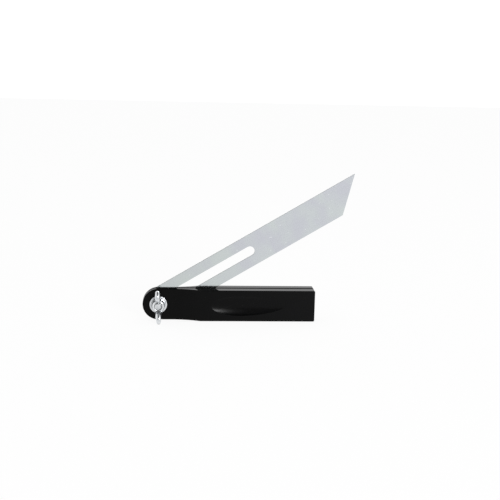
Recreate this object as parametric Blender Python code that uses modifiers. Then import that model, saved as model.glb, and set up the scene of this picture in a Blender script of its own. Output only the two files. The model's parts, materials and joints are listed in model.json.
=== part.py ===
"""Sliding bevel: a slotted steel blade that swings and slides on a bolt through a forked
plastic handle, and is locked by a wing nut.

Each piece is drawn in a drawing frame: X from the pivot to the butt, Y up, Z to the front,
with zero on the pivot's axis in the middle of the blade's thickness. One empty stands the
drawing frame up, so that world +Z is up, world -Y is the front, and the origin is the
middle of the bottom of the tool's box. All lengths are in metres.
"""

import math

import bmesh
import bpy
from mathutils import Vector

# Blade
BLADE_WIDTH = 0.0254
BLADE_THICKNESS = 0.0010
BLADE_REACH = 0.1960
BLADE_TIP_ANGLE = math.radians(45)
BLADE_ANGLE = math.radians(30.8)
BLADE_EDGE_BREAK = 0.00012
SLOT_WIDTH = 0.0080
SLOT_REACH = 0.0924
SLOT_BACK = 0.0046

# Handle
HANDLE_REACH = 0.1310
HANDLE_HEIGHT = 0.0264
GRIP_THICKNESS = 0.0190
NECK_THICKNESS = 0.0082
NECK_FLAT_REACH = 0.0110
SHOULDER_REACH = 0.0350
BUTT_CORNER = 0.0010
HANDLE_EDGE_RADIUS = 0.0005
BLADE_SIDE_CLEARANCE = 0.0004
WEB_THICKNESS = 0.0030
WEB_START = 0.0400

# Thumb recess in each side of the grip
RECESS_START = 0.0440
RECESS_LENGTH = 0.0610
RECESS_HEIGHT = 0.0172
RECESS_DEPTH = 0.0021
RECESS_TAPER_SHARE = 0.22
RECESS_SHALLOW_SHARE = 0.45

# Pivot bolt
THREAD_DIAMETER = 0.0060
THREAD_PITCH = 0.0010
THREAD_DEPTH = 0.0006
BOLT_END_CHAMFER = 0.0006
BOLT_END_STANDOUT = 0.0012
BOLT_HEAD_DIAMETER = 0.0150
BOLT_HEAD_HEIGHT = 0.0033
BOLT_HEAD_RIM = 0.0010
BOLT_NECK_ACROSS = 0.0060
BOLT_NECK_CORNER = 0.0006
BOLT_NECK_END_CLEARANCE = 0.0002

# Washer
WASHER_DIAMETER = 0.0150
WASHER_THICKNESS = 0.0013
WASHER_EDGE_BREAK = 0.0002

# Wing nut
HUB_BASE_DIAMETER = 0.0118
HUB_TOP_DIAMETER = 0.0098
HUB_HEIGHT = 0.0064
HUB_EDGE_BREAK = 0.0006
WING_SPAN = 0.0282
WING_NUT_HEIGHT = 0.0146
WING_LOBE_RADIUS = 0.0040
WING_ROOT_BOTTOM = 0.0009
WING_ROOT_DEPTH = 0.0011
WING_ROOT_THICKNESS = 0.0044
WING_TIP_THICKNESS = 0.0030
WING_EDGE_RADIUS = 0.0010
WING_TURN = math.radians(92.7)

# Fits and shared allowances
RUNNING_CLEARANCE = 0.0003
SEAT_GAP = 0.0003
OVERRUN = 0.0020
JOIN_OVERLAP = 0.0004
MERGE_DISTANCE = 0.000001

# Fineness of round shapes
ARC_STEPS = 24
TURN_STEPS = 40
THREAD_SIDES = 16
THREAD_RINGS_PER_PITCH = 4
RECESS_SIDES = 40
RECESS_RINGS = 16
EDGE_SEGMENTS = 3
SMOOTH_ANGLE = math.radians(35)
FLAT_ANGLE = 0.000001

# Finishes, each as a linear colour, a roughness and a metallic value
BLACK_PLASTIC = ((0.008, 0.008, 0.009), 0.35, 0)
GROUND_STEEL = ((0.60, 0.62, 0.63), 0.32, 1)
BRIGHT_PLATING = ((0.78, 0.79, 0.80), 0.16, 1)

# Places along the pivot's axis that several pieces share
NECK_FACE = NECK_THICKNESS / 2
GRIP_FACE = GRIP_THICKNESS / 2
CHEEK_GAP = BLADE_THICKNESS + 2 * BLADE_SIDE_CLEARANCE
HALF_HEIGHT = HANDLE_HEIGHT / 2
WASHER_SEAT = NECK_FACE + SEAT_GAP
NUT_SEAT = WASHER_SEAT + WASHER_THICKNESS + SEAT_GAP
BOLT_END = NUT_SEAT + HUB_HEIGHT + BOLT_END_STANDOUT
BOLT_NECK_END = CHEEK_GAP / 2 - BOLT_NECK_END_CLEARANCE
BOLT_HEAD_SEAT = -NECK_FACE - SEAT_GAP
SHANK_HOLE_DIAMETER = THREAD_DIAMETER + 2 * RUNNING_CLEARANCE


def clear_scene():
    """Remove every object, so that the scene holds only this tool."""
    for item in list(bpy.data.objects):
        bpy.data.objects.remove(item, do_unlink=True)


def add_collection(name):
    """Add a collection to the scene and return it."""
    collection = bpy.data.collections.new(name)
    bpy.context.scene.collection.children.link(collection)
    return collection


def add_material(name, colour, roughness, metallic):
    """Return a Principled material of one linear colour."""
    material = bpy.data.materials.new(name)
    material.use_nodes = True
    shader = material.node_tree.nodes["Principled BSDF"]
    shader.inputs["Base Color"].default_value = (*colour, 1)
    shader.inputs["Roughness"].default_value = roughness
    shader.inputs["Metallic"].default_value = metallic
    return material


def add_mesh_object(name, shape, collection):
    """Turn a bmesh into an object and free the bmesh."""
    mesh = bpy.data.meshes.new(name)
    shape.to_mesh(mesh)
    shape.free()
    item = bpy.data.objects.new(name, mesh)
    collection.objects.link(item)
    return item


def arc_points(centre, radius, start, end, steps=ARC_STEPS):
    """Points along an arc, both ends included, with angles in radians."""
    angles = [start + (end - start) * step / steps for step in range(steps + 1)]
    return [(centre[0] + radius * math.cos(a), centre[1] + radius * math.sin(a)) for a in angles]


def add_plate(name, outlines, thickness, collection):
    """Extrude closed outlines to a plate. The first is the rim and any other one is a hole."""
    curve = bpy.data.curves.new(name, "CURVE")
    curve.dimensions = "2D"
    curve.fill_mode = "BOTH"
    curve.extrude = thickness / 2
    for outline in outlines:
        spline = curve.splines.new("POLY")
        spline.points.add(len(outline) - 1)
        for point, (x, y) in zip(spline.points, outline):
            point.co = (x, y, 0, 1)
        spline.use_cyclic_u = True
    drawn = bpy.data.objects.new(name + "_outline", curve)
    collection.objects.link(drawn)
    return mesh_from_curve(name, drawn, collection)


def mesh_from_curve(name, drawn, collection):
    """Replace a curve object by a mesh whose caps are welded to its sides."""
    graph = bpy.context.evaluated_depsgraph_get()
    mesh = bpy.data.meshes.new_from_object(drawn.evaluated_get(graph))
    shape = bmesh.new()
    shape.from_mesh(mesh)
    bmesh.ops.remove_doubles(shape, verts=shape.verts, dist=MERGE_DISTANCE)
    bmesh.ops.dissolve_limit(shape, angle_limit=FLAT_ANGLE, verts=shape.verts, edges=shape.edges)
    bmesh.ops.recalc_face_normals(shape, faces=shape.faces)
    bpy.data.objects.remove(drawn, do_unlink=True)
    bpy.data.meshes.remove(mesh)
    return add_mesh_object(name, shape, collection)


def add_turned(name, profile, collection, closed):
    """Turn a profile of (radius, height) points about Z. It runs down its outer side."""
    shape = bmesh.new()
    points = [shape.verts.new((radius, 0, height)) for radius, height in profile]
    for first, second in zip(points, points[1:]):
        shape.edges.new((first, second))
    if closed:
        shape.edges.new((points[-1], points[0]))
    item = add_mesh_object(name, shape, collection)
    screw = item.modifiers.new("Turn", "SCREW")
    screw.steps = TURN_STEPS
    screw.render_steps = TURN_STEPS
    screw.use_merge_vertices = True
    screw.merge_threshold = MERGE_DISTANCE
    return item


def add_cylinder(name, diameter, low, high, sides, collection):
    """Add a closed cylinder about Z that reaches from low to high."""
    shape = bmesh.new()
    bmesh.ops.create_cone(
        shape,
        cap_ends=True,
        segments=sides,
        radius1=diameter / 2,
        radius2=diameter / 2,
        depth=high - low,
    )
    item = add_mesh_object(name, shape, collection)
    item.location.z = (low + high) / 2
    return item


def add_boolean(target, other, operation):
    """Cut another shape out of the target, or join it on. The other shape is hidden, and
    rides with the target from where it was drawn."""
    modifier = target.modifiers.new(f"{operation.title()} {other.name}", "BOOLEAN")
    modifier.operation = operation
    modifier.object = other
    other.parent = target
    other.matrix_parent_inverse = target.matrix_basis.inverted()
    other.hide_render = True
    other.display_type = "WIRE"


def add_bevel(item, width, segments, angle):
    """Round the edges that are sharper than an angle."""
    bevel = item.modifiers.new("Round edges", "BEVEL")
    bevel.width = width
    bevel.segments = segments
    bevel.limit_method = "ANGLE"
    bevel.angle_limit = angle
    return bevel


def handle_outline():
    """Side outline of the handle: a round pivot end and a square butt with eased corners."""
    top_corner = (HANDLE_REACH - BUTT_CORNER, HALF_HEIGHT - BUTT_CORNER)
    low_corner = (HANDLE_REACH - BUTT_CORNER, BUTT_CORNER - HALF_HEIGHT)
    quarter = math.pi / 2
    points = arc_points((0, 0), HALF_HEIGHT, quarter, 3 * quarter)
    points += arc_points(low_corner, BUTT_CORNER, -quarter, 0, EDGE_SEGMENTS)
    points += arc_points(top_corner, BUTT_CORNER, 0, quarter, EDGE_SEGMENTS)
    return points


def neck_relief_outline():
    """Plan of what is taken off one side: flat at the neck, then a hollow arc to the grip."""
    rise = GRIP_FACE - NECK_FACE
    run = SHOULDER_REACH - NECK_FLAT_REACH
    radius = (run * run + rise * rise) / (2 * rise)
    past_face = math.acos((radius - rise - OVERRUN) / radius)
    centre = (NECK_FLAT_REACH, NECK_FACE + radius)
    down = -math.pi / 2
    far_end = -HALF_HEIGHT - OVERRUN
    points = [(far_end, GRIP_FACE + OVERRUN), (far_end, NECK_FACE)]
    points += arc_points(centre, radius, down, down + past_face)
    return points


def cut_neck(handle, cutters):
    """Thin the handle's neck from the front and from the back."""
    tall = HANDLE_HEIGHT + 2 * OVERRUN
    for side, turn in (("front", math.pi / 2), ("back", -math.pi / 2)):
        relief = add_plate(f"{side}_neck_relief", [neck_relief_outline()], tall, cutters)
        relief.rotation_euler.x = turn
        add_boolean(handle, relief, "DIFFERENCE")


def blade_channel_outline():
    """Side outline of the channel for the blade: right through the neck, open along the top
    and the butt, and closed below the grip by the web."""
    outside = HALF_HEIGHT + OVERRUN
    floor = WEB_THICKNESS - HALF_HEIGHT
    far = HANDLE_REACH + OVERRUN
    below = [(-outside, -outside), (WEB_START, -outside)]
    return below + [(WEB_START, floor), (far, floor), (far, outside), (-outside, outside)]


def cut_blade_channel(handle, cutters):
    """Cut the channel that the blade swings in."""
    channel = add_plate("blade_channel", [blade_channel_outline()], CHEEK_GAP, cutters)
    add_boolean(handle, channel, "DIFFERENCE")


def neck_corner_diameter():
    """Distance across the rounded corners of the bolt's square neck."""
    diagonal = BOLT_NECK_ACROSS * math.sqrt(2)
    return diagonal - 2 * BOLT_NECK_CORNER * (math.sqrt(2) - 1)


def cut_bolt_holes(handle, cutters):
    """Bore the front cheek for the shank and the back cheek for the square neck to turn in."""
    outside = GRIP_FACE + OVERRUN
    front = add_cylinder("shank_hole", SHANK_HOLE_DIAMETER, 0, outside, TURN_STEPS, cutters)
    add_boolean(handle, front, "DIFFERENCE")
    neck_hole = neck_corner_diameter() + 2 * RUNNING_CLEARANCE
    back = add_cylinder("neck_hole", neck_hole, -outside, 0, TURN_STEPS, cutters)
    add_boolean(handle, back, "DIFFERENCE")


def add_recess_cutter(name, face, collection):
    """A scoop shaped from a sphere: blunt and deep at the pivot's end, and narrower and
    shallower at the other. Its middle lies on the grip's face, and its lid stands clear."""
    shape = bmesh.new()
    bmesh.ops.create_uvsphere(shape, u_segments=RECESS_SIDES, v_segments=RECESS_RINGS, radius=1)
    for vert in shape.verts:
        along, across, deep = vert.co
        width_share = 1 - RECESS_TAPER_SHARE * along
        depth_share = 1 - RECESS_SHALLOW_SHARE * along
        reach = OVERRUN if deep > 0 else RECESS_DEPTH * depth_share
        vert.co.x = along * RECESS_LENGTH / 2
        vert.co.y = across * width_share * RECESS_HEIGHT / 2
        vert.co.z = deep * reach
    cutter = add_mesh_object(name, shape, collection)
    cutter.location = (RECESS_START + RECESS_LENGTH / 2, 0, face)
    cutter.scale.z = math.copysign(1, face)
    return cutter


def cut_recesses(handle, cutters):
    """Scoop a thumb recess out of both sides of the grip."""
    for side, face in (("front", GRIP_FACE), ("back", -GRIP_FACE)):
        scoop = add_recess_cutter(f"{side}_thumb_recess", face, cutters)
        add_boolean(handle, scoop, "DIFFERENCE")


def build_handle(parts, cutters):
    """The one-piece moulded handle: two neck cheeks, and a grip with a web along its spine."""
    handle = add_plate("handle", [handle_outline()], GRIP_THICKNESS, parts)
    cut_neck(handle, cutters)
    add_bevel(handle, HANDLE_EDGE_RADIUS, EDGE_SEGMENTS, SMOOTH_ANGLE)
    cut_blade_channel(handle, cutters)
    cut_bolt_holes(handle, cutters)
    cut_recesses(handle, cutters)
    return handle


def blade_outline():
    """Outline of the blade along its own length: round tail at the pivot, slanting tip."""
    half = BLADE_WIDTH / 2
    heel = BLADE_REACH - BLADE_WIDTH / math.tan(BLADE_TIP_ANGLE)
    points = arc_points((0, 0), half, math.pi / 2, 3 * math.pi / 2)
    return points + [(heel, -half), (BLADE_REACH, half)]


def slot_outline():
    """Outline of the slot, which has round ends."""
    half = SLOT_WIDTH / 2
    quarter = math.pi / 2
    points = arc_points((half - SLOT_BACK, 0), half, quarter, 3 * quarter)
    points += arc_points((SLOT_REACH - half, 0), half, -quarter, quarter)
    return points


def build_blade(parts):
    """The slotted steel blade, with its sharp edges just broken."""
    blade = add_plate("blade", [blade_outline(), slot_outline()], BLADE_THICKNESS, parts)
    add_bevel(blade, BLADE_EDGE_BREAK, 1, SMOOTH_ANGLE)
    return blade


def thread_radius(angle, height):
    """Radius of the screw thread's surface at an angle and a height."""
    phase = (height / THREAD_PITCH - angle / math.tau) % 1
    share = abs(2 * phase - 1)
    return THREAD_DIAMETER / 2 - THREAD_DEPTH * share


def add_threaded_shank(name, low, high, collection):
    """A cylinder whose side is pushed in along a helix to make the thread."""
    shank = add_cylinder(name, THREAD_DIAMETER, low, high, THREAD_SIDES, collection)
    shape = bmesh.new()
    shape.from_mesh(shank.data)
    sides = [edge for edge in shape.edges if edge.verts[0].co.z * edge.verts[1].co.z < 0]
    rings = math.ceil((high - low) / THREAD_PITCH * THREAD_RINGS_PER_PITCH)
    bmesh.ops.subdivide_edges(shape, edges=sides, cuts=rings, use_grid_fill=True)
    for vert in shape.verts:
        angle = math.atan2(vert.co.y, vert.co.x)
        from_end = (high - low) / 2 - vert.co.z
        chamfered = THREAD_DIAMETER / 2 - max(BOLT_END_CHAMFER - from_end, 0)
        radius = min(thread_radius(angle, vert.co.z), chamfered)
        vert.co.x = radius * math.cos(angle)
        vert.co.y = radius * math.sin(angle)
    shape.to_mesh(shank.data)
    shape.free()
    return shank


def bolt_head_profile():
    """Half section of the domed head, from its crown down to its middle below."""
    radius = BOLT_HEAD_DIAMETER / 2
    rise = BOLT_HEAD_HEIGHT - BOLT_HEAD_RIM
    dome = (radius * radius + rise * rise) / (2 * rise)
    spread = math.asin(radius / dome)
    centre = (0, BOLT_HEAD_HEIGHT - dome)
    crown = arc_points(centre, dome, math.pi / 2, math.pi / 2 - spread, ARC_STEPS // 2)
    crown[0] = (0, BOLT_HEAD_HEIGHT)
    return crown + [(radius, 0), (0, 0)]


def build_bolt(parts, cutters):
    """The pivot bolt: domed head behind, square neck in the blade's slot, thread in front."""
    bolt = add_threaded_shank("pivot_bolt", BOLT_NECK_END - JOIN_OVERLAP, BOLT_END, parts)
    neck_start = BOLT_HEAD_SEAT - JOIN_OVERLAP
    shape = bmesh.new()
    bmesh.ops.create_cube(shape, size=1)
    neck = add_mesh_object("square_neck", shape, cutters)
    size = Vector((BOLT_NECK_ACROSS, BOLT_NECK_ACROSS, BOLT_NECK_END - neck_start))
    for vert in neck.data.vertices:
        vert.co = vert.co * size
    neck.location.z = (BOLT_NECK_END + neck_start) / 2
    add_bevel(neck, BOLT_NECK_CORNER, EDGE_SEGMENTS, SMOOTH_ANGLE)
    head = add_turned("domed_head", bolt_head_profile(), cutters, closed=False)
    head.rotation_euler.x = math.pi
    head.location.z = BOLT_HEAD_SEAT
    add_boolean(bolt, neck, "UNION")
    add_boolean(bolt, head, "UNION")
    return bolt


def ring_profile(bore, low_diameter, high_diameter, height, edge_break):
    """Closed half section of a ring that may taper, with its outer corners broken."""
    inner = bore / 2
    low = low_diameter / 2
    high = high_diameter / 2
    return [
        (inner, height),
        (high - edge_break, height),
        (high, height - edge_break),
        (low, edge_break),
        (low - edge_break, 0),
        (inner, 0),
    ]


def build_washer(parts):
    """The flat washer between the neck and the wing nut."""
    profile = ring_profile(
        SHANK_HOLE_DIAMETER, WASHER_DIAMETER, WASHER_DIAMETER, WASHER_THICKNESS, WASHER_EDGE_BREAK
    )
    washer = add_turned("washer", profile, parts, closed=True)
    washer.location.z = WASHER_SEAT
    return washer


def tangent_angle(point, centre, radius, side):
    """Angle on a circle where a line from an outside point touches it on one side."""
    across = Vector(point) - Vector(centre)
    towards = math.atan2(across.y, across.x)
    return towards + side * math.acos(radius / across.length)


def wing_outline():
    """One wing seen flat, as (distance from the axis, height): a round lobe on a root that
    narrows from the hub."""
    root = HUB_TOP_DIAMETER / 2 - WING_ROOT_DEPTH
    centre = (WING_SPAN / 2 - WING_LOBE_RADIUS, WING_NUT_HEIGHT - WING_LOBE_RADIUS)
    low = (root, WING_ROOT_BOTTOM)
    high = (root, HUB_HEIGHT - HUB_EDGE_BREAK)
    start = tangent_angle(low, centre, WING_LOBE_RADIUS, 1)
    end = tangent_angle(high, centre, WING_LOBE_RADIUS, -1)
    lobe = arc_points(centre, WING_LOBE_RADIUS, start, end + math.tau)
    return [low] + lobe + [high]


def add_wing(name, side, collection):
    """One wing, thinner towards its tip, standing up from the hub at an angle round the axis."""
    wing = add_plate(name, [wing_outline()], 1, collection)
    root = HUB_TOP_DIAMETER / 2 - WING_ROOT_DEPTH
    span = WING_SPAN / 2 - root
    for vert in wing.data.vertices:
        out = (vert.co.x - root) / span
        thickness = WING_ROOT_THICKNESS + (WING_TIP_THICKNESS - WING_ROOT_THICKNESS) * out
        vert.co.z = vert.co.z * thickness
    add_bevel(wing, WING_EDGE_RADIUS, EDGE_SEGMENTS, math.pi / 4)
    wing.rotation_euler = (math.pi / 2, 0, side)
    return wing


def build_wing_nut(parts, cutters):
    """The wing nut: a tapered hub with two wings."""
    profile = ring_profile(
        SHANK_HOLE_DIAMETER, HUB_BASE_DIAMETER, HUB_TOP_DIAMETER, HUB_HEIGHT, HUB_EDGE_BREAK
    )
    nut = add_turned("wing_nut", profile, parts, closed=True)
    for name, side in (("first_wing", 0), ("second_wing", math.pi)):
        add_boolean(nut, add_wing(name, side, cutters), "UNION")
    nut.location.z = NUT_SEAT
    nut.rotation_euler.z = WING_TURN
    return nut


def add_empty(name, collection):
    """Add an empty that carries other pieces."""
    empty = bpy.data.objects.new(name, None)
    collection.objects.link(empty)
    return empty


def finish(item, look):
    """Give a piece a material of its own, and shade its round faces smooth."""
    item.data.materials.append(add_material(f"{item.name}_finish", *look))
    item.data.shade_smooth()
    item.data.set_sharp_from_angle(angle=SMOOTH_ANGLE)


def bounds_of(items):
    """Lowest and highest corners of the finished pieces in the world."""
    bpy.context.view_layer.update()
    graph = bpy.context.evaluated_depsgraph_get()
    corners = []
    for item in items:
        final = item.evaluated_get(graph)
        corners += [final.matrix_world @ vert.co for vert in final.data.vertices]
    low = Vector([min(corner[axis] for corner in corners) for axis in range(3)])
    high = Vector([max(corner[axis] for corner in corners) for axis in range(3)])
    return low, high


def stand_up(base, items):
    """Stand the drawing frame up and put the origin at the middle of the box's bottom."""
    base.rotation_euler.x = math.pi / 2
    low, high = bounds_of(items)
    base.location = (-(low.x + high.x) / 2, -(low.y + high.y) / 2, -low.z)


def main():
    clear_scene()
    parts = add_collection("sliding_bevel")
    cutters = add_collection("cutters")
    base = add_empty("tool_base", parts)
    pivot = add_empty("blade_pivot", parts)
    pivot.parent = base
    pivot.rotation_euler.z = BLADE_ANGLE

    handle = build_handle(parts, cutters)
    blade = build_blade(parts)
    bolt = build_bolt(parts, cutters)
    washer = build_washer(parts)
    nut = build_wing_nut(parts, cutters)

    finish(handle, BLACK_PLASTIC)
    finish(blade, GROUND_STEEL)
    for item in (bolt, washer, nut):
        finish(item, BRIGHT_PLATING)
    for item in (handle, washer, nut):
        item.parent = base
    for item in (blade, bolt):
        item.parent = pivot
    stand_up(base, [handle, blade, bolt, washer, nut])


main()
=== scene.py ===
"""Sliding bevel: the finished look of every piece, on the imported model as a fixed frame.

Pieces are drawn in the tool's drawing frame: X from the pivot to the butt, Y up and Z to the
front, with zero on the pivot's axis in the middle of the blade's thickness. Lengths are metres.
"""

import json
import math

import bmesh
import bpy
import numpy as np
from bpy.props import FloatProperty, FloatVectorProperty, PointerProperty, StringProperty
from mathutils import Matrix, Vector
from mathutils.geometry import delaunay_2d_cdt


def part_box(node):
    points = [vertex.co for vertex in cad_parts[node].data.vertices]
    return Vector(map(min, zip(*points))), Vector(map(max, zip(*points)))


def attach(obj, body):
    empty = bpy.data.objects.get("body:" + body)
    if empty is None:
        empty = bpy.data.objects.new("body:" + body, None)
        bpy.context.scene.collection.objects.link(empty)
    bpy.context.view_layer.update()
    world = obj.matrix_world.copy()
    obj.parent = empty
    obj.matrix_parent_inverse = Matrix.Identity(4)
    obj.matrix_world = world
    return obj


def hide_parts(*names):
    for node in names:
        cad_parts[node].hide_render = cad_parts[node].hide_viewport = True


bl_info = {
    "name": "Sliding Bevel",
    "version": (1, 0, 0),
    "blender": (4, 5, 0),
    "location": "View3D > Sidebar > Sliding Bevel",
    "description": "Models the handle, blade, pivot bolt, washer and wing nut of a sliding bevel",
    "category": "Object",
}

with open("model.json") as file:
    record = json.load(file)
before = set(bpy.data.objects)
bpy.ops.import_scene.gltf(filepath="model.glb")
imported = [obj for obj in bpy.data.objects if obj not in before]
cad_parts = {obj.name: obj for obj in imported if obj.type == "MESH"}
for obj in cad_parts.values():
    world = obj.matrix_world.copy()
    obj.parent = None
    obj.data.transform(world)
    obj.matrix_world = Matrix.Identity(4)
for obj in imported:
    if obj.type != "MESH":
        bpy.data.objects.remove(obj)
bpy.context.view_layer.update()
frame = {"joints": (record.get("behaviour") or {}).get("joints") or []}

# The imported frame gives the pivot, the blade's direction and the pieces' outer sizes.
JOINTS = {joint["name"]: joint for joint in frame["joints"]}
PIVOT = Vector(JOINTS["blade_swing"]["pos_m"])
BLADE_WAY = -Vector(JOINTS["blade_slide"]["axis"])
BLADE_SWING = math.atan2(BLADE_WAY.z, BLADE_WAY.x)
STAND_UP = Matrix.Translation(PIVOT) @ Matrix.Rotation(math.pi / 2, 4, "X")
HANDLE_LOW, HANDLE_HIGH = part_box("handle")
BLADE_LOW, BLADE_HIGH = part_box("blade")
BOLT_LOW, BOLT_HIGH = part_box("pivot_bolt")
WASHER_LOW, WASHER_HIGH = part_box("washer")
NUT_LOW, NUT_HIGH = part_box("wing_nut")

QUARTER = math.pi / 2
MERGE_DISTANCE = 0.0000005
GUARD = 0.00015
ROUND_STEPS = 72
CORNER_STEPS = 8
EDGE_STEPS = 6
TURN_STEPS = 96


def length(name, description, default):
    """A length that the user can change."""
    return FloatProperty(
        name=name,
        description=description,
        default=default,
        min=0,
        precision=5,
        unit="LENGTH",
        subtype="DISTANCE",
    )


def share(name, description, default):
    """A share between 0 and 1 that the user can change."""
    return FloatProperty(
        name=name, description=description, default=default, min=0, max=1, subtype="FACTOR"
    )


def hex_colour(name, description, default):
    """An sRGB colour, written as six hex digits, that the user can change."""
    return StringProperty(name=name, description=description, default=default)


class HandleSizes(bpy.types.PropertyGroup):
    """Sizes and colours of the moulded handle."""

    reach: length("Reach", "Pivot axis to the butt", HANDLE_HIGH.x - PIVOT.x)
    height: length("Height", "Spine to the open side", HANDLE_HIGH.z - HANDLE_LOW.z)
    grip_thickness: length("Grip thickness", "Across both cheeks", HANDLE_HIGH.y - HANDLE_LOW.y)
    neck_thickness: length("Neck thickness", "Across the thin cheeks at the pivot", 0.0082)
    neck_flat_reach: length("Neck flat", "Pivot axis to the foot of the shoulder", 0.0110)
    shoulder_reach: length("Shoulder", "Pivot axis to the start of the grip's face", 0.0350)
    butt_corner: length("Butt corner", "Radius of the butt's corners", 0.0010)
    edge_radius: length("Edge radius", "Rounding of the outer edges", 0.0005)
    channel_width: length("Channel width", "Gap between the cheeks", 0.0018)
    channel_edge: length("Channel edge", "Rounding of the channel's edges", 0.0009)
    web_thickness: length("Web", "Thickness of the web along the spine", 0.0030)
    web_start: length("Web start", "Pivot axis to the near end of the web", 0.0400)
    front_hole: length("Front hole", "Diameter of the hole for the bolt's shank", 0.0066)
    back_hole: length("Back hole", "Diameter of the hole for the bolt's square neck", 0.0086)
    recess_start: length("Recess start", "Pivot axis to the thumb recess", 0.0440)
    recess_length: length("Recess length", "Length of the thumb recess", 0.0610)
    recess_height: length("Recess height", "Height of the recess in its middle", 0.0163)
    recess_depth: length("Recess depth", "Depth of the recess in its middle", 0.0021)
    recess_taper: share("Recess taper", "How much the recess narrows to the butt", 0.22)
    recess_shallow: share("Recess shallowing", "How much shallower it is to the butt", 0.45)
    recess_bowl: share("Recess bowl", "1 for an even bowl, less for one with a steeper rim", 0.9)
    colour: hex_colour("Colour", "Black of the moulded plastic", "020202")


class BladeSizes(bpy.types.PropertyGroup):
    """Sizes and colours of the slotted blade."""

    width: length("Width", "Width of the steel strip", 0.0254)
    thickness: length("Thickness", "Thickness of the strip", BLADE_HIGH.y - BLADE_LOW.y)
    reach: length("Reach", "Pivot axis to the sharp tip", 0.1960)
    slot_width: length("Slot width", "Width of the slot", 0.0080)
    slot_reach: length("Slot reach", "Pivot axis to the slot's far end", 0.0924)
    slot_back: length("Slot back", "Pivot axis to the slot's near end", 0.0046)
    edge_radius: length("Edge radius", "Rounding of the cut edges", 0.00018)
    colour: hex_colour("Face colour", "Ground steel of the faces", "CDD3D3")
    edge_colour: hex_colour("Edge colour", "Dark scale left on the cut edges", "181A1C")


class BoltSizes(bpy.types.PropertyGroup):
    """Sizes and colour of the pivot bolt."""

    thread_diameter: length("Thread diameter", "Across the thread's crests", 0.0060)
    thread_pitch: length("Thread pitch", "Crest to crest", 0.0010)
    thread_depth: length("Thread depth", "Crest to root", 0.0006)
    end_chamfer: length("End chamfer", "Chamfer of the threaded end", 0.0006)
    neck_across: length("Square neck", "Across the flats of the square neck", 0.0060)
    neck_corner: length("Neck corner", "Rounding of the square neck's corners", 0.0006)
    neck_end: length("Neck end", "Blade's mid-plane to the square neck's end", 0.0007)
    head_height: length("Head height", "Height of the domed head", 0.0033)
    head_rim: length("Head rim", "Height of the straight rim of the head", 0.0010)
    colour: hex_colour("Colour", "Zinc plating of the bolt", "DADCDE")


class WasherSizes(bpy.types.PropertyGroup):
    """Sizes and colour of the washer."""

    bore: length("Bore", "Diameter of the hole", 0.0066)
    rim: length("Rim", "Outer diameter", 0.0146)
    edge_radius: length("Edge radius", "Rounding of the blanked edge", 0.0003)
    colour: hex_colour("Colour", "Zinc plating of the washer", "DDDFE1")


class WingNutSizes(bpy.types.PropertyGroup):
    """Sizes and colour of the wing nut."""

    bore: length("Bore", "Diameter of the hole", 0.0062)
    bore_chamfer: length("Bore chamfer", "Chamfer at the mouth of the bore", 0.0002)
    hub_base: length("Hub base", "Diameter of the hub at the washer", 0.0118)
    hub_top: length("Hub top", "Diameter of the hub's outer end", 0.0098)
    hub_height: length("Hub height", "Height of the hub", 0.0064)
    hub_edge: length("Hub edge", "Chamfer of the hub's corners", 0.0003)
    span: length("Span", "Tip to tip across the wings", 0.0282)
    wing_height: length("Wing height", "Washer side to the top of the wings", 0.0146)
    lobe_radius: length("Lobe radius", "Radius of a wing's round end", 0.0046)
    root_bottom: length("Root bottom", "Washer side to the underside of a wing", 0.0009)
    root_depth: length("Root depth", "How far a wing reaches into the hub", 0.0008)
    root_top: length("Root top", "Washer side to the top of a wing at the hub", 0.0046)
    root_thickness: length("Root thickness", "Thickness of a wing at the hub", 0.0052)
    tip_thickness: length("Tip thickness", "Thickness of a wing at its tip", 0.0036)
    grain: length("Casting detail", "Finest detail that the casting keeps", 0.00014)
    turn: FloatProperty(
        name="Turn",
        description="Angle of the wings from the handle's length",
        default=math.radians(92.7),
        subtype="ANGLE",
    )
    colour: hex_colour("Colour", "Bright plating of the nut", "E2E4E6")


class StageSettings(bpy.types.PropertyGroup):
    """Camera, lamps and surroundings."""

    camera_place: FloatVectorProperty(
        name="Camera",
        description="Place of the camera",
        default=(-0.059472, -0.813400, 0.219708),
        subtype="TRANSLATION",
        unit="LENGTH",
        precision=5,
    )
    camera_turn: FloatVectorProperty(
        name="Camera turn",
        description="Downward tilt, turn to the left and roll of the camera",
        default=(math.radians(10.993), math.radians(4.273), math.radians(1.329)),
        subtype="EULER",
    )
    lens: FloatProperty(name="Lens", description="Focal length", default=72.0, unit="CAMERA")
    key_power: FloatProperty(
        name="Key lamp", description="Power of the large lamp", default=60.0, unit="POWER"
    )
    surround: hex_colour("Surround", "Pale room that the metal reflects", "FFFFFF")
    dark_side: hex_colour("Dark side", "Unlit room behind the camera", "323232")


# Shapes


def arc(centre, radius, start, end, steps):
    """Points along an arc, both ends included."""
    angles = [start + (end - start) * step / steps for step in range(steps + 1)]
    return [(centre[0] + radius * math.cos(a), centre[1] + radius * math.sin(a)) for a in angles]


def add_piece(name, shape):
    """Turn a bmesh into an object of the scene, and free the bmesh."""
    mesh = bpy.data.meshes.new(name)
    shape.to_mesh(mesh)
    shape.free()
    item = bpy.data.objects.new(name, mesh)
    bpy.context.scene.collection.objects.link(item)
    return item


def apply_modifiers(item):
    """Replace an object's mesh by what its modifiers make of it."""
    graph = bpy.context.evaluated_depsgraph_get()
    mesh = bpy.data.meshes.new_from_object(item.evaluated_get(graph))
    rough = item.data
    item.modifiers.clear()
    item.data = mesh
    bpy.data.meshes.remove(rough)
    mesh.name = item.name
    return item


def join_solid(target, other):
    """Weld another solid on to an object, and remove the other one."""
    union = target.modifiers.new("Join", "BOOLEAN")
    union.operation = "UNION"
    union.solver = "EXACT"
    union.object = other
    apply_modifiers(target)
    bpy.data.objects.remove(other, do_unlink=True)
    return target


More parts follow.
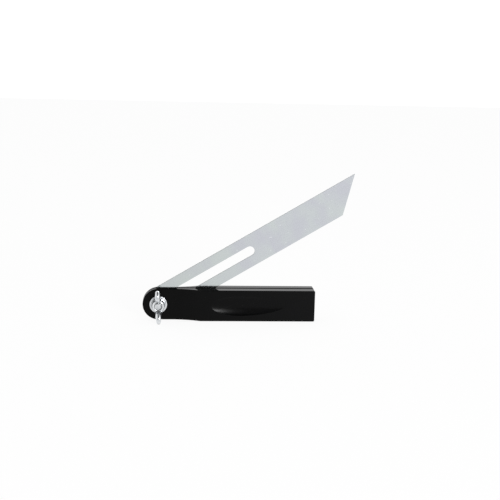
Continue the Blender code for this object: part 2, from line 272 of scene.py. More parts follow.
def plate(name, outlines, thickness):
    """A flat plate about the mid-plane. The first outline is its rim and any other is a hole."""
    curve = bpy.data.curves.new(name, "CURVE")
    curve.dimensions = "2D"
    curve.fill_mode = "BOTH"
    curve.extrude = thickness / 2
    for outline in outlines:
        spline = curve.splines.new("POLY")
        spline.points.add(len(outline) - 1)
        for point, (x, y) in zip(spline.points, outline):
            point.co = (x, y, 0, 1)
        spline.use_cyclic_u = True
    drawn = bpy.data.objects.new(name + "_outline", curve)
    bpy.context.scene.collection.objects.link(drawn)
    graph = bpy.context.evaluated_depsgraph_get()
    mesh = bpy.data.meshes.new_from_object(drawn.evaluated_get(graph))
    shape = bmesh.new()
    shape.from_mesh(mesh)
    bmesh.ops.remove_doubles(shape, verts=shape.verts, dist=MERGE_DISTANCE)
    bmesh.ops.dissolve_limit(shape, angle_limit=0.00001, verts=shape.verts, edges=shape.edges)
    bmesh.ops.recalc_face_normals(shape, faces=shape.faces)
    bpy.data.objects.remove(drawn, do_unlink=True)
    bpy.data.meshes.remove(mesh)
    return add_piece(name, shape)


def turned(name, profile, closed):
    """Turn a profile of (radius, height) points about Z."""
    shape = bmesh.new()
    points = [shape.verts.new((radius, 0, height)) for radius, height in profile]
    for first, second in zip(points, points[1:]):
        shape.edges.new((first, second))
    if closed:
        shape.edges.new((points[-1], points[0]))
    item = add_piece(name, shape)
    screw = item.modifiers.new("Turn", "SCREW")
    screw.steps = TURN_STEPS
    screw.render_steps = TURN_STEPS
    screw.use_merge_vertices = True
    screw.merge_threshold = MERGE_DISTANCE
    apply_modifiers(item)
    shape = bmesh.new()
    shape.from_mesh(item.data)
    bmesh.ops.recalc_face_normals(shape, faces=shape.faces)
    shape.to_mesh(item.data)
    shape.free()
    return item


def bevel(item, width, segments, angle):
    """Round the edges that are sharper than an angle."""
    modifier = item.modifiers.new("Round edges", "BEVEL")
    modifier.width = width
    modifier.segments = segments
    modifier.limit_method = "ANGLE"
    modifier.angle_limit = angle


def finish_piece(item, material, node, place, sharp=40):
    """Put a finished piece where its node is, dress it, and let it ride on the node's body."""
    item.data.materials.append(material)
    item.data.shade_smooth()
    item.data.set_sharp_from_angle(angle=math.radians(sharp))
    flat = item.modifiers.new("Flat faces shade flat", "WEIGHTED_NORMAL")
    flat.keep_sharp = True
    apply_modifiers(item)
    item.matrix_world = place
    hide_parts(node)
    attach(item, node)
    return item


# Handle


def inside_distance(sizes, x, y):
    """Distance from points in the side view in to the handle's outline."""
    radius = sizes.height / 2
    past_x = x - (sizes.reach - sizes.butt_corner)
    past_y = np.abs(y) - (radius - sizes.butt_corner)
    corner = np.hypot(np.maximum(past_x, 0), np.maximum(past_y, 0))
    square = sizes.butt_corner - np.minimum(np.maximum(past_x, past_y), 0) - corner
    return np.where(x < 0, radius - np.hypot(x, y), square)


def handle_loop(sizes, inset):
    """The handle's outline, moved in by an inset: a round pivot end and a square butt."""
    far = sizes.reach - sizes.butt_corner
    rise = sizes.height / 2 - sizes.butt_corner
    corner = sizes.butt_corner - inset
    points = arc((0, 0), sizes.height / 2 - inset, QUARTER, 3 * QUARTER, ROUND_STEPS)
    points += arc((far, -rise), corner, -QUARTER, 0, CORNER_STEPS)
    points += arc((far, rise), corner, 0, QUARTER, CORNER_STEPS)
    return points


def recess_place(sizes, x, y):
    """Places in the thumb recess: along it from -1 to 1, and out from its middle to 1."""
    along = (x - sizes.recess_start - sizes.recess_length / 2) / (sizes.recess_length / 2)
    across = y / ((1 - sizes.recess_taper * along) * sizes.recess_height / 2)
    return along, np.hypot(along, across)


def recess_loop(sizes, out, steps=120):
    """One level line of the thumb recess, at a share of the way out from its middle."""
    points = []
    for step in range(steps):
        angle = math.tau * step / steps
        along = out * math.cos(angle)
        half = (1 - sizes.recess_taper * along) * sizes.recess_height / 2
        middle = sizes.recess_start + sizes.recess_length / 2
        points.append((middle + along * sizes.recess_length / 2, out * math.sin(angle) * half))
    return points


def cheek_height(sizes, x, y):
    """Height of a cheek's outer surface above the mid-plane at points in the side view."""
    neck = sizes.neck_thickness / 2
    rise = sizes.grip_thickness / 2 - neck
    run = sizes.shoulder_reach - sizes.neck_flat_reach
    hollow = (run * run + rise * rise) / (2 * rise)
    along_hollow = np.clip(x - sizes.neck_flat_reach, 0, run)
    height = neck + hollow - np.sqrt(hollow * hollow - along_hollow * along_hollow)
    edge = np.clip(1 - inside_distance(sizes, x, y) / sizes.edge_radius, 0, 1)
    height -= sizes.edge_radius * (1 - np.sqrt(1 - edge * edge))
    along, out = recess_place(sizes, x, y)
    depth = sizes.recess_depth * (1 - sizes.recess_shallow * along)
    return height - depth * np.clip(1 - out * out, 0, 1) ** sizes.recess_bowl


def cheek_lines(sizes, hole):
    """Closed loops and straight lines that the mesh of a cheek's outer surface follows."""
    quarter_steps = [QUARTER * step / EDGE_STEPS for step in range(EDGE_STEPS + 1)]
    insets = [sizes.edge_radius * (1 - math.cos(angle)) for angle in quarter_steps]
    loops = [handle_loop(sizes, inset) for inset in insets + [sizes.edge_radius + GUARD]]
    loops.append([(x, y) for x, y in arc((0, 0), hole / 2, 0, math.tau, ROUND_STEPS)[:-1]])
    bowl_steps = 22
    for step in range(bowl_steps):
        loops.append(recess_loop(sizes, math.cos(QUARTER * step / bowl_steps)))
    loops.append(recess_loop(sizes, 1 + GUARD / sizes.recess_height))
    stations = np.linspace(sizes.neck_flat_reach, sizes.shoulder_reach, 26).tolist()
    stations += [sizes.neck_flat_reach - GUARD, sizes.shoulder_reach + GUARD]
    stations += [sizes.shoulder_reach - GUARD, sizes.web_start - GUARD, sizes.web_start]
    top = sizes.height / 2
    lines = [[(x, -top), (x, top)] for x in stations]
    floor = sizes.web_thickness - top
    lines += [[(sizes.web_start, y), (sizes.reach, y)] for y in (floor, floor + GUARD)]
    return loops, lines


def add_cheek(shape, sizes, side, hole):
    """Add one cheek as a closed solid: outer surface, rim and the wall of the channel."""
    loops, lines = cheek_lines(sizes, hole)
    places = []
    edges = []
    for line, cyclic in [(loop, True) for loop in loops] + [(line, False) for line in lines]:
        first = len(places)
        places += [Vector(point) for point in line]
        edges += [(first + k, first + k + 1) for k in range(len(line) - 1)]
        if cyclic:
            edges.append((len(places) - 1, first))
    flat, _, faces, *_ = delaunay_2d_cdt(places, edges, [], 0, MERGE_DISTANCE, False)
    flat = np.array(flat, float)
    heights = cheek_height(sizes, flat[:, 0], flat[:, 1])
    verts = [shape.verts.new((x, y, side * z)) for (x, y), z in zip(flat, heights)]
    made = []
    for face in faces:
        middle = flat[list(face)].mean(axis=0)
        if np.hypot(*middle) > hole / 2:
            made.append(shape.faces.new([verts[k] for k in face]))
    for vert in verts:
        if not vert.link_faces:
            shape.verts.remove(vert)
    own = set(made)
    rim = [edge for edge in shape.edges if len(edge.link_faces) == 1 and edge.link_faces[0] in own]
    wall = sizes.channel_width / 2
    round_edge = arc((0, wall + sizes.channel_edge), sizes.channel_edge, 0, -QUARTER, EDGE_STEPS)
    before = sizes.channel_edge
    for across, level in round_edge:
        step_in = before - across
        before = across
        grown = bmesh.ops.extrude_edge_only(shape, edges=rim)["geom"]
        rim = [part for part in grown if isinstance(part, bmesh.types.BMEdge)]
        for vert in (part for part in grown if isinstance(part, bmesh.types.BMVert)):
            move = ease_move(sizes, vert.co.x, vert.co.y, step_in, hole)
            vert.co = Vector((vert.co.x + move[0], vert.co.y + move[1], side * level))
    bmesh.ops.triangle_fill(shape, use_beauty=True, edges=rim)


def ease_move(sizes, x, y, ease, hole):
    """Step in from the outline that rounds the channel's edge, except at the web and the hole."""
    floor = sizes.web_thickness - sizes.height / 2
    at_web = x > sizes.web_start - MERGE_DISTANCE and y < floor
    if ease == 0 or at_web or math.hypot(x, y) < hole / 2 + ease:
        return 0, 0
    reach = np.array([x + ease, x - ease, x, x])
    rise = np.array([y, y, y + ease, y - ease])
    right, left, up, down = inside_distance(sizes, reach, rise)
    slope = Vector((right - left, up - down)).normalized()
    return slope * ease


def web_outline(sizes):
    """Side outline of the web that joins the cheeks along the spine."""
    low = -sizes.height / 2
    corner = (sizes.reach - sizes.butt_corner, low + sizes.butt_corner)
    points = [(sizes.web_start, low + sizes.web_thickness), (sizes.web_start, low)]
    points += arc(corner, sizes.butt_corner, -QUARTER, 0, CORNER_STEPS)
    return points + [(sizes.reach, low + sizes.web_thickness)]


def model_handle(sizes):
    """The one-piece moulded handle."""
    shape = bmesh.new()
    add_cheek(shape, sizes, 1, sizes.front_hole)
    add_cheek(shape, sizes, -1, sizes.back_hole)
    bmesh.ops.recalc_face_normals(shape, faces=shape.faces)
    handle = add_piece("moulded_handle", shape)
    overlap = sizes.channel_width + sizes.channel_edge
    return join_solid(handle, plate("spine_web", [web_outline(sizes)], overlap))


# Blade


def model_blade(sizes):
    """The slotted strip with a slanting tip."""
    half = sizes.width / 2
    rim = arc((0, 0), half, QUARTER, 3 * QUARTER, ROUND_STEPS)
    rim += [(sizes.reach - sizes.width, -half), (sizes.reach, half)]
    slot = sizes.slot_width / 2
    hole = arc((slot - sizes.slot_back, 0), slot, QUARTER, 3 * QUARTER, ROUND_STEPS // 2)
    hole += arc((sizes.slot_reach - slot, 0), slot, -QUARTER, QUARTER, ROUND_STEPS // 2)
    blade = plate("slotted_blade", [rim, hole], sizes.thickness)
    bevel(blade, sizes.edge_radius, 3, math.radians(35))
    return apply_modifiers(blade)


# Pivot bolt


def thread_rise(sizes, angle, height):
    """Radius of the thread at an angle and height, with flat crests and roots."""
    phase = (height / sizes.thread_pitch - angle / math.tau) % 1
    flank = min(max((abs(2 * phase - 1) - 0.15) / 0.6, 0), 1)
    return sizes.thread_diameter / 2 - sizes.thread_depth * flank


def threaded_rod(name, sizes, low, high):
    """A closed rod about Z with a helical thread and a chamfered end."""
    rings = math.ceil((high - low) / sizes.thread_pitch * 16)
    shape = bmesh.new()
    levels = [low + (high - low) * ring / rings for ring in range(rings + 1)]
    grid = []
    for level in levels:
        ring = []
        for step in range(TURN_STEPS):
            angle = math.tau * step / TURN_STEPS
            chamfered = sizes.thread_diameter / 2 - max(sizes.end_chamfer - (high - level), 0)
            radius = min(thread_rise(sizes, angle, level), chamfered)
            ring.append(shape.verts.new((radius * math.cos(angle), radius * math.sin(angle), level)))
        grid.append(ring)
    for lower, upper in zip(grid, grid[1:]):
        for k in range(TURN_STEPS):
            after = (k + 1) % TURN_STEPS
            shape.faces.new((lower[k], lower[after], upper[after], upper[k]))
    shape.faces.new(grid[-1])
    shape.faces.new(reversed(grid[0]))
    return add_piece(name, shape)


def head_profile(sizes):
    """Half section of the domed head, which points down, from its rim's top to its crown."""
    radius = (BOLT_HIGH.x - BOLT_LOW.x) / 2
    rise = sizes.head_height - sizes.head_rim
    dome = (radius * radius + rise * rise) / (2 * rise)
    spread = math.asin(radius / dome)
    crown = arc((0, dome - sizes.head_height), dome, -QUARTER, spread - QUARTER, CORNER_STEPS * 2)
    crown[0] = (0, -sizes.head_height)
    ease = sizes.neck_corner / 2
    rim = [(radius, -ease), (radius - ease / 2, -ease / 4), (radius - ease, 0), (0, 0)]
    return crown + rim


def model_bolt(sizes):
    """The pivot bolt: thread in front, square neck in the slot, domed head behind."""
    end = PIVOT.y - BOLT_LOW.y
    seat = PIVOT.y - BOLT_HIGH.y + sizes.head_height
    overlap = sizes.neck_corner
    bolt = threaded_rod("threaded_bolt", sizes, sizes.neck_end - overlap, end)
    across = sizes.neck_across / 2
    square = [(-across, -across), (across, -across), (across, across), (-across, across)]
    long = sizes.neck_end - seat + overlap
    neck = plate("square_neck", [square], long)
    bevel(neck, sizes.neck_corner, CORNER_STEPS, math.radians(60))
    apply_modifiers(neck)
    neck.data.transform(Matrix.Translation((0, 0, sizes.neck_end - long / 2)))
    join_solid(bolt, neck)
    head = turned("domed_head", head_profile(sizes), closed=False)
    head.data.transform(Matrix.Translation((0, 0, seat)))
    return join_solid(bolt, head)


# Washer


def model_washer(sizes):
    """The blanked washer: one edge rolled round by the punch, the other sharper."""
    bore = sizes.bore / 2
    rim = sizes.rim / 2
    thick = WASHER_HIGH.y - WASHER_LOW.y
    roll = sizes.edge_radius
    profile = arc((rim - roll, thick - roll), roll, QUARTER, 0, EDGE_STEPS)
    profile += [(rim, roll / 3), (rim - roll / 3, 0), (bore + roll / 3, 0), (bore, roll / 3)]
    profile += arc((bore + roll, thick - roll), roll, math.pi, QUARTER, EDGE_STEPS)
    washer = turned("plated_washer", profile, closed=True)
    washer.data.transform(Matrix.Translation((0, 0, PIVOT.y - WASHER_HIGH.y)))
    return washer


# Wing nut


def tangent_angle(point, centre, radius, side):
    """Angle on a circle where a line from an outside point touches it on one side."""
    across = Vector(point) - Vector(centre)
    return math.atan2(across.y, across.x) + side * math.acos(radius / across.length)


def wing_rim(sizes, root):
    """Rim of a wing seen flat: points (distance from the axis, height) and ways out of it."""
    radius = sizes.lobe_radius
    centre = (sizes.span / 2 - radius, sizes.wing_height - radius)
    start = tangent_angle((root, sizes.root_bottom), centre, radius, 1)
    end = tangent_angle((root, sizes.root_top), centre, radius, -1) + math.tau
    ways = arc((0, 0), 1, start, end, ROUND_STEPS // 2)
    points = arc(centre, radius, start, end, ROUND_STEPS // 2)
    points = [(root, sizes.root_bottom)] + points + [(root, sizes.root_top)]
    return zip(points, [ways[0]] + ways + [ways[-1]])


def model_wing(name, sizes, side):
    """One wing with a fully rounded rim, thinner towards its tip, standing up from the hub."""
    root = sizes.hub_top / 2 - sizes.root_depth
    shape = bmesh.new()
    for point, way in wing_rim(sizes, root):
        out = (point[0] - root) / (sizes.span / 2 - root)
        half = (sizes.root_thickness + (sizes.tip_thickness - sizes.root_thickness) * out) / 2
        for ahead, across in arc((0, 0), half, -QUARTER, QUARTER, EDGE_STEPS * 2):
            inward = half - ahead
            shape.verts.new((point[0] - way[0] * inward, point[1] - way[1] * inward, across))
    bmesh.ops.convex_hull(shape, input=shape.verts)
    parts = shape.verts[:] + shape.edges[:] + shape.faces[:]
    cut = bmesh.ops.bisect_plane(
        shape, geom=parts, plane_co=(root, 0, 0), plane_no=(-1, 0, 0), clear_outer=True
    )["geom_cut"]
    bmesh.ops.edgeloop_fill(shape, edges=[part for part in cut if isinstance(part, bmesh.types.BMEdge)])
    loose = [vert for vert in shape.verts if not vert.link_faces]
    bmesh.ops.delete(shape, geom=loose, context="VERTS")
    bmesh.ops.recalc_face_normals(shape, faces=shape.faces)
    wing = add_piece(name, shape)
    wing.data.transform(Matrix.Rotation(side, 4, "Z") @ Matrix.Rotation(QUARTER, 4, "X"))
    return wing


def hub_profile(sizes):
    """Closed half section of the nut's hub, with a countersunk bore."""
    bore = sizes.bore / 2
    sink = sizes.bore_chamfer
    base = sizes.hub_base / 2
    top = sizes.hub_top / 2
    edge = sizes.hub_edge
    high = sizes.hub_height
    outside = [(base - edge, 0), (base, edge), (top, high - edge), (top - edge, high)]
    return outside + [(bore + sink, high), (bore, high - sink), (bore, sink), (bore + sink, 0)]


def model_wing_nut(sizes):
    """The cast wing nut: its edges and the roots of its wings are softened as a casting's are."""
    nut = turned("cast_wing_nut", hub_profile(sizes), closed=True)
    join_solid(nut, model_wing("first_wing", sizes, 0))
    join_solid(nut, model_wing("second_wing", sizes, math.pi))
    cast = nut.modifiers.new("Cast surface", "REMESH")
    cast.mode = "VOXEL"
    cast.voxel_size = sizes.grain
    soft = nut.modifiers.new("Soft corners", "SMOOTH")
    soft.factor = 0.5
    soft.iterations = 8
    apply_modifiers(nut)
    seat = PIVOT.y - NUT_HIGH.y
    nut.data.transform(Matrix.Translation((0, 0, seat)) @ Matrix.Rotation(sizes.turn, 4, "Z"))
    return nut


# Materials


def linear(colour):
    """Linear colour with alpha from six sRGB hex digits."""
    parts = [int(colour[k : k + 2], 16) / 255 for k in (0, 2, 4)]
    return tuple(p / 12.92 if p <= 0.04045 else ((p + 0.055) / 1.055) ** 2.4 for p in parts) + (1,)


def per_metre(millimetres):
    """Texture scale at which one cell of a pattern has this size."""
    return 1000 / millimetres


def node(tree, kind, inputs=None, **settings):
    """Add a node, set its properties, and fill its inputs with values or links."""
    item = tree.nodes.new(kind)
    for name, value in settings.items():
        setattr(item, name, value)
    for name, value in (inputs or {}).items():
        if isinstance(value, bpy.types.NodeSocket):
            tree.links.new(value, item.inputs[name])
        else:
            item.inputs[name].default_value = value
    return item


def new_material(name):
    """A material with an empty node tree and its output."""
    material = bpy.data.materials.new(name)
    material.use_nodes = True
    tree = material.node_tree
    tree.nodes.clear()
    return material, tree, tree.nodes.new("ShaderNodeOutputMaterial")


def stretched(tree, scales, turn=0, swing=0):
    """Object coordinates, turned back by a piece's swing, with a scale of their own on each axis."""
    place = node(tree, "ShaderNodeTexCoord").outputs["Object"]
    inputs = {"Vector": place, "Angle": -swing}
    level = node(tree, "ShaderNodeVectorRotate", inputs, rotation_type="Z_AXIS").outputs["Vector"]
    inputs = {"Vector": level, "Scale": scales, "Rotation": (0, 0, turn)}
    return node(tree, "ShaderNodeMapping", inputs).outputs["Vector"]


def spread(tree, value, low, high, to_low, to_high):
    """Map a value's range to another one and clamp it."""
    inputs = {"Value": value, "From Min": low, "From Max": high, "To Min": to_low, "To Max": to_high}
    return node(tree, "ShaderNodeMapRange", inputs).outputs["Result"]


def mixed(tree, factor, first, second):
    """Mix two colours by a factor."""
    inputs = {0: factor, 6: first, 7: second}
    return node(tree, "ShaderNodeMix", inputs, data_type="RGBA").outputs[2]


def noise(tree, place, scale, detail=2.0, roughness=0.5):
    """Noise from 0 to 1 at a place."""
    inputs = {"Vector": place, "Scale": scale, "Detail": detail, "Roughness": roughness}
    return node(tree, "ShaderNodeTexNoise", inputs).outputs["Fac"]


def moulded_plastic(sizes):
    """Black ABS, injection moulded in a polished tool: a deep black gloss that the tool's fine
    texture softens, with a slow sink ripple and hairline scuffs. The colour grows a faint grey
    towards the butt end: a painted sheen for the lamp's glare, which falls more on that end."""
    material, tree, output = new_material("black_moulded_plastic")
    even = stretched(tree, (1, 1, 1))
    cloud = noise(tree, even, per_metre(14))
    grain = noise(tree, even, per_metre(0.35), 3)
    scuffs = noise(tree, stretched(tree, (0.12, 1, 1), 0.3), per_metre(0.5), 4, 0.65)
    scuffed = spread(tree, scuffs, 0.62, 0.75, 0, 1)
    along = node(tree, "ShaderNodeSeparateXYZ", {"Vector": even}).outputs["X"]
    # Painted sheen: the black turns a faint grey towards the butt end, standing in for the lamp's glare there.
    butt_sheen_ramp = node(tree, "ShaderNodeMath", {0: cloud, 1: 0.03, 2: along}, operation="MULTIPLY_ADD")
    painted_sheen = spread(tree, butt_sheen_ramp.outputs["Value"], 0.03, 0.15, 0, 1)
    colour = mixed(tree, painted_sheen, linear(sizes.colour), linear("0A0A0B"))
    colour = mixed(tree, scuffed, colour, linear("131315"))
    facing = node(tree, "ShaderNodeLayerWeight", {"Blend": 0.5}).outputs["Facing"]
    satin = spread(tree, facing, 0.35, 0.75, 0.26, 0.04)
    uneven = spread(tree, cloud, 0.3, 0.7, 0, 0.02)
    scratched = spread(tree, scuffs, 0.6, 0.75, 0, 0.06)
    marks = node(tree, "ShaderNodeMath", {0: uneven, 1: scratched}, operation="ADD").outputs["Value"]
    roughness = node(tree, "ShaderNodeMath", {0: satin, 1: marks}, operation="ADD").outputs["Value"]
    ripple = node(
        tree,
        "ShaderNodeBump",
        {"Height": cloud, "Strength": 0.25, "Distance": 0.0002},
    ).outputs["Normal"]
    normal = node(
        tree,
        "ShaderNodeBump",
        {"Height": grain, "Strength": 0.08, "Distance": 0.00004, "Normal": ripple},
    ).outputs["Normal"]
    shader = node(
        tree,
        "ShaderNodeBsdfPrincipled",
        {"Base Color": colour, "Roughness": roughness, "IOR": 1.18, "Normal": normal},
    )
    tree.links.new(shader.outputs["BSDF"], output.inputs["Surface"])
    return material


def ground_steel(sizes):
    """Carbon steel strip, finely ground: pale even grey with short grinding lines along it,
    soft cloudy bands, and duller sheared edges."""
    material, tree, output = new_material("ground_steel_strip")
    lines = noise(tree, stretched(tree, (0.03, 1, 1), 0, BLADE_SWING), per_metre(0.30), 4, 0.6)
    cloud = noise(tree, stretched(tree, (0.6, 0.35, 1), 0.9, BLADE_SWING), per_metre(9), 3)
    place = node(tree, "ShaderNodeTexCoord").outputs["Normal"]
    facing = node(tree, "ShaderNodeSeparateXYZ", {"Vector": place}).outputs["Z"]
    flat = node(tree, "ShaderNodeMath", {0: facing}, operation="ABSOLUTE").outputs["Value"]
    on_edge = spread(tree, flat, 0.7, 0.97, 1, 0)
    face = linear(sizes.colour)
    shade = mixed(tree, spread(tree, cloud, 0.35, 0.65, 0, 0.8), face, linear("C7C8D1"))
    shade = mixed(tree, spread(tree, lines, 0.35, 0.7, 0, 0.25), shade, linear("B9BEC2"))
    # Sparse bright specks stand for fine scratches, painted near white as the glints they throw.
    glint_specks = noise(tree, stretched(tree, (0.5, 1, 1), 0.4, BLADE_SWING), per_metre(1.3), 1)
    shade = mixed(tree, spread(tree, glint_specks, 0.74, 0.79, 0, 0.7), shade, linear("F0F2F4"))
    level = stretched(tree, (1, 1, 1), 0, BLADE_SWING)
    along = node(tree, "ShaderNodeSeparateXYZ", {"Vector": level}).outputs["X"]
    shade = mixed(tree, spread(tree, along, 0.02, 0.10, 0.5, 0), shade, linear("BDC4C0"))
    rubbed = spread(tree, along, 0.05, 0.12, 0, 1)
    edge = mixed(tree, rubbed, linear(sizes.edge_colour), linear("6A6E70"))
    colour = mixed(tree, on_edge, shade, edge)
    gloss = spread(tree, lines, 0.3, 0.7, 0.11, 0.16)
    roughness = node(tree, "ShaderNodeMix", {0: on_edge, 2: gloss, 3: 0.7}).outputs[0]
    wave = node(
        tree,
        "ShaderNodeBump",
        {"Height": cloud, "Strength": 0.15, "Distance": 0.0002},
    ).outputs["Normal"]
    normal = node(
        tree,
        "ShaderNodeBump",
        {"Height": lines, "Strength": 0.12, "Distance": 0.00005, "Normal": wave},
    ).outputs["Normal"]
    shader = node(
        tree,
        "ShaderNodeBsdfPrincipled",
        {"Base Color": colour, "Metallic": 1.0, "Roughness": roughness, "Normal": normal},
    )
    tree.links.new(shader.outputs["BSDF"], output.inputs["Surface"])
    return material


def zinc_plating(name, colour, dull, bump_size, bump_depth, roughness, slope_shade=0.0):
    """Bright zinc plating over steel: a clean silver with faint duller clouds, and the texture
    of what lies beneath it, such as a casting's ripples or a blanked face. Painted shade darkens
    the narrow corners, and can darken the slanting faces, which draws a thread's dark lines."""
    material, tree, output = new_material(name)
    even = stretched(tree, (1, 1, 1))
    cloud = noise(tree, even, per_metre(2.5), 3)
    ripple = noise(tree, even, per_metre(bump_size), 2)
    shade = mixed(tree, spread(tree, cloud, 0.4, 0.7, 0, 1), linear(colour), linear(dull))
    outward = node(tree, "ShaderNodeTexCoord").outputs["Normal"]
    along = node(tree, "ShaderNodeSeparateXYZ", {"Vector": outward}).outputs["Z"]
    level = node(tree, "ShaderNodeMath", {0: along}, operation="ABSOLUTE").outputs["Value"]
    # Painted shade: faces turned more than about 45 degrees from the axis, such as thread flanks and the end's
    # chamfer, go dark grey by the given share.
    shade = mixed(tree, spread(tree, level, 0.71, 0.74, slope_shade, 0), shade, linear("2E3032"))
    # Painted shade: where ambient occlusion finds the surface hemmed in, as between hub and washer or round
    # the bolt's end, the colour goes dark grey.
    corner_shade_ao = node(tree, "ShaderNodeAmbientOcclusion", {"Distance": 0.0016}).outputs["AO"]
    shade = mixed(tree, spread(tree, corner_shade_ao, 0.35, 0.8, 0.85, 0), shade, linear("2E3032"))
    rough = spread(tree, cloud, 0.3, 0.7, roughness, roughness + 0.08)
    normal = node(
        tree,
        "ShaderNodeBump",
        {"Height": ripple, "Strength": 0.5, "Distance": bump_depth},
    ).outputs["Normal"]
    shader = node(
        tree,
        "ShaderNodeBsdfPrincipled",
        {"Base Color": shade, "Metallic": 1.0, "Roughness": rough, "Normal": normal},
    )
    tree.links.new(shader.outputs["BSDF"], output.inputs["Surface"])
    return material


def white_sweep():
    """Matt white card: it keeps the tool's soft shadow, and camera and metal see it as white."""
    material, tree, output = new_material("white_card")
    card = node(tree, "ShaderNodeBsdfDiffuse", {"Color": linear("F4F4F4")}).outputs["BSDF"]
    white = node(tree, "ShaderNodeEmission", {"Strength": 1.02}).outputs["Emission"]
    path = node(tree, "ShaderNodeLightPath").outputs
    seen = node(
        tree, "ShaderNodeMath", {0: path["Is Camera Ray"], 1: path["Is Glossy Ray"]}, operation="MAXIMUM"
    )
    seen = node(
        tree,
        "ShaderNodeMath",
        {0: seen.outputs["Value"], 1: path["Is Transmission Ray"]},
        operation="MAXIMUM",
    )
    factor = spread(tree, seen.outputs["Value"], 0, 1, 0, 0.9)
    mix = node(tree, "ShaderNodeMixShader", {0: factor, 1: card, 2: white})
    tree.links.new(mix.outputs["Shader"], output.inputs["Surface"])
    return material


# Stage


def add_floor():
    """A pale floor under the tool."""
    shape = bmesh.new()
    bmesh.ops.create_grid(shape, x_segments=8, y_segments=8, size=4)
    floor = add_piece("white_floor", shape)
    floor.data.materials.append(white_sweep())


def add_lamp(name, place, aim, width, power):
    """A square soft lamp at a place, turned to a point."""
    lamp = bpy.data.lights.new(name, "AREA")
    lamp.size = width
    lamp.energy = power
    item = bpy.data.objects.new(name, lamp)
    item.location = place
    item.rotation_euler = (Vector(aim) - Vector(place)).to_track_quat("-Z", "Y").to_euler()
    bpy.context.scene.collection.objects.link(item)


def add_surroundings(settings):
    """A pale room, white to the camera, and unlit on the side where the camera stands."""
    world = bpy.data.worlds.new("pale_room")
    bpy.context.scene.world = world
    world.use_nodes = True
    tree = world.node_tree
    tree.nodes.clear()
    way = node(tree, "ShaderNodeTexCoord").outputs["Generated"]
    parts = node(tree, "ShaderNodeSeparateXYZ", {"Vector": way}).outputs
    across = node(tree, "ShaderNodeMath", {0: parts["X"]}, operation="ABSOLUTE").outputs["Value"]
    beside = spread(tree, across, 0.35, 0.60, 0, 1)
    beyond = spread(tree, parts["Y"], 0.35, 0.65, 0, 1)
    lit = node(tree, "ShaderNodeMath", {0: beside, 1: beyond}, operation="MAXIMUM").outputs["Value"]
    room = mixed(tree, lit, linear(settings.dark_side), linear(settings.surround))
    path = node(tree, "ShaderNodeLightPath").outputs
    seen = mixed(tree, path["Is Camera Ray"], room, (1, 1, 1, 1))
    background = node(tree, "ShaderNodeBackground", {"Color": seen, "Strength": 1.1})
    output = tree.nodes.new("ShaderNodeOutputWorld")
    tree.links.new(background.outputs["Background"], output.inputs["Surface"])


def add_camera(settings):
    """The camera at the photograph's viewing angle."""
    tilt, turn, roll = settings.camera_turn
    back = Vector((-math.sin(turn) * math.cos(tilt), -math.cos(turn) * math.cos(tilt), math.sin(tilt)))
    right = (-back).cross(Vector((0, 0, 1))).normalized()
    up = right.cross(-back)
    rolled_right = right * math.cos(roll) + up * math.sin(roll)
    rolled_up = up * math.cos(roll) - right * math.sin(roll)
    camera = bpy.data.cameras.new("camera")
    camera.lens = settings.lens
    camera.sensor_width = 36
    camera.clip_start = 0.01
    item = bpy.data.objects.new("camera", camera)
    turned_to = Matrix((rolled_right, rolled_up, back)).transposed().to_4x4()
    item.matrix_world = Matrix.Translation(settings.camera_place) @ turned_to
    bpy.context.scene.collection.objects.link(item)
    bpy.context.scene.camera = item


# Operators


class SLIDING_BEVEL_OT_handle(bpy.types.Operator):
    """Model the black moulded handle"""

    bl_idname = "sliding_bevel.handle"
    bl_label = "Handle"

    def execute(self, context):
        sizes = context.scene.bevel_handle
        handle = model_handle(sizes)
        finish_piece(handle, moulded_plastic(sizes), "handle", STAND_UP)
        return {"FINISHED"}


class SLIDING_BEVEL_OT_blade(bpy.types.Operator):
    """Model the slotted steel blade"""

    bl_idname = "sliding_bevel.blade"
    bl_label = "Blade"

    def execute(self, context):
        sizes = context.scene.bevel_blade
        blade = model_blade(sizes)
        blade.data.transform(Matrix.Rotation(BLADE_SWING, 4, "Z"))
        finish_piece(blade, ground_steel(sizes), "blade", STAND_UP)
        return {"FINISHED"}


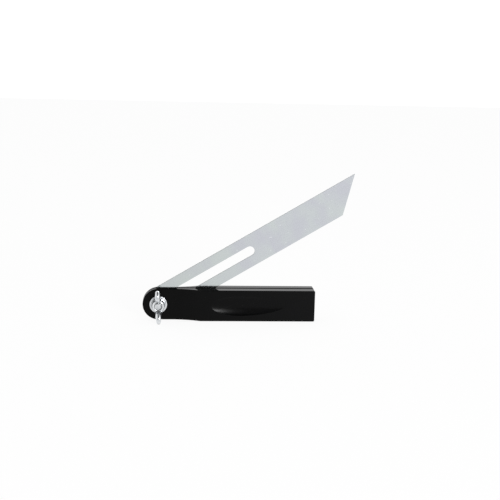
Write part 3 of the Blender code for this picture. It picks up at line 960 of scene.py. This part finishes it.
class SLIDING_BEVEL_OT_hardware(bpy.types.Operator):
    """Model the pivot bolt, the washer and the wing nut"""

    bl_idname = "sliding_bevel.hardware"
    bl_label = "Bolt, Washer and Wing Nut"

    def execute(self, context):
        scene = context.scene
        bolt = model_bolt(scene.bevel_bolt)
        bolt.data.transform(Matrix.Rotation(BLADE_SWING, 4, "Z"))
        look = zinc_plating("plated_rolled_thread", scene.bevel_bolt.colour, "B4B8BB", 0.8, 0.000006, 0.2, 1.0)
        finish_piece(bolt, look, "pivot_bolt", STAND_UP)
        washer = model_washer(scene.bevel_washer)
        look = zinc_plating("plated_blanking", scene.bevel_washer.colour, "BCC0C3", 0.9, 0.000008, 0.28)
        finish_piece(washer, look, "washer", STAND_UP)
        nut = model_wing_nut(scene.bevel_nut)
        look = zinc_plating("plated_casting", scene.bevel_nut.colour, "C4C8CB", 1.1, 0.00003, 0.22)
        finish_piece(nut, look, "wing_nut", STAND_UP, 60)
        return {"FINISHED"}


class SLIDING_BEVEL_OT_stage(bpy.types.Operator):
    """Set up the floor, the lamps, the room and the camera"""

    bl_idname = "sliding_bevel.stage"
    bl_label = "Stage"

    def execute(self, context):
        settings = context.scene.bevel_stage
        context.scene.view_settings.view_transform = "Standard"
        add_floor()
        add_lamp("key_lamp", (1.20, -2.78, 0.85), (0, 0, 0.03), 0.7, settings.key_power)
        add_surroundings(settings)
        add_camera(settings)
        return {"FINISHED"}


class SLIDING_BEVEL_PT_panel(bpy.types.Panel):
    """Lists the pieces of the sliding bevel"""

    bl_label = "Sliding Bevel"
    bl_idname = "SLIDING_BEVEL_PT_panel"
    bl_space_type = "VIEW_3D"
    bl_region_type = "UI"
    bl_category = "Sliding Bevel"

    def draw(self, context):
        for operator in OPERATORS:
            self.layout.operator(operator.bl_idname)


OPERATORS = (
    SLIDING_BEVEL_OT_handle,
    SLIDING_BEVEL_OT_blade,
    SLIDING_BEVEL_OT_hardware,
    SLIDING_BEVEL_OT_stage,
)
SETTINGS = {
    "bevel_handle": HandleSizes,
    "bevel_blade": BladeSizes,
    "bevel_bolt": BoltSizes,
    "bevel_washer": WasherSizes,
    "bevel_nut": WingNutSizes,
    "bevel_stage": StageSettings,
}


def register():
    for group in (*SETTINGS.values(), *OPERATORS, SLIDING_BEVEL_PT_panel):
        bpy.utils.register_class(group)
    for name, group in SETTINGS.items():
        setattr(bpy.types.Scene, name, PointerProperty(type=group))


def unregister():
    for name in SETTINGS:
        delattr(bpy.types.Scene, name)
    for group in reversed((*SETTINGS.values(), *OPERATORS, SLIDING_BEVEL_PT_panel)):
        bpy.utils.unregister_class(group)


def main():
    register()
    bpy.ops.sliding_bevel.handle()
    bpy.ops.sliding_bevel.blade()
    bpy.ops.sliding_bevel.hardware()
    bpy.ops.sliding_bevel.stage()


if __name__ == "__main__":
    main()
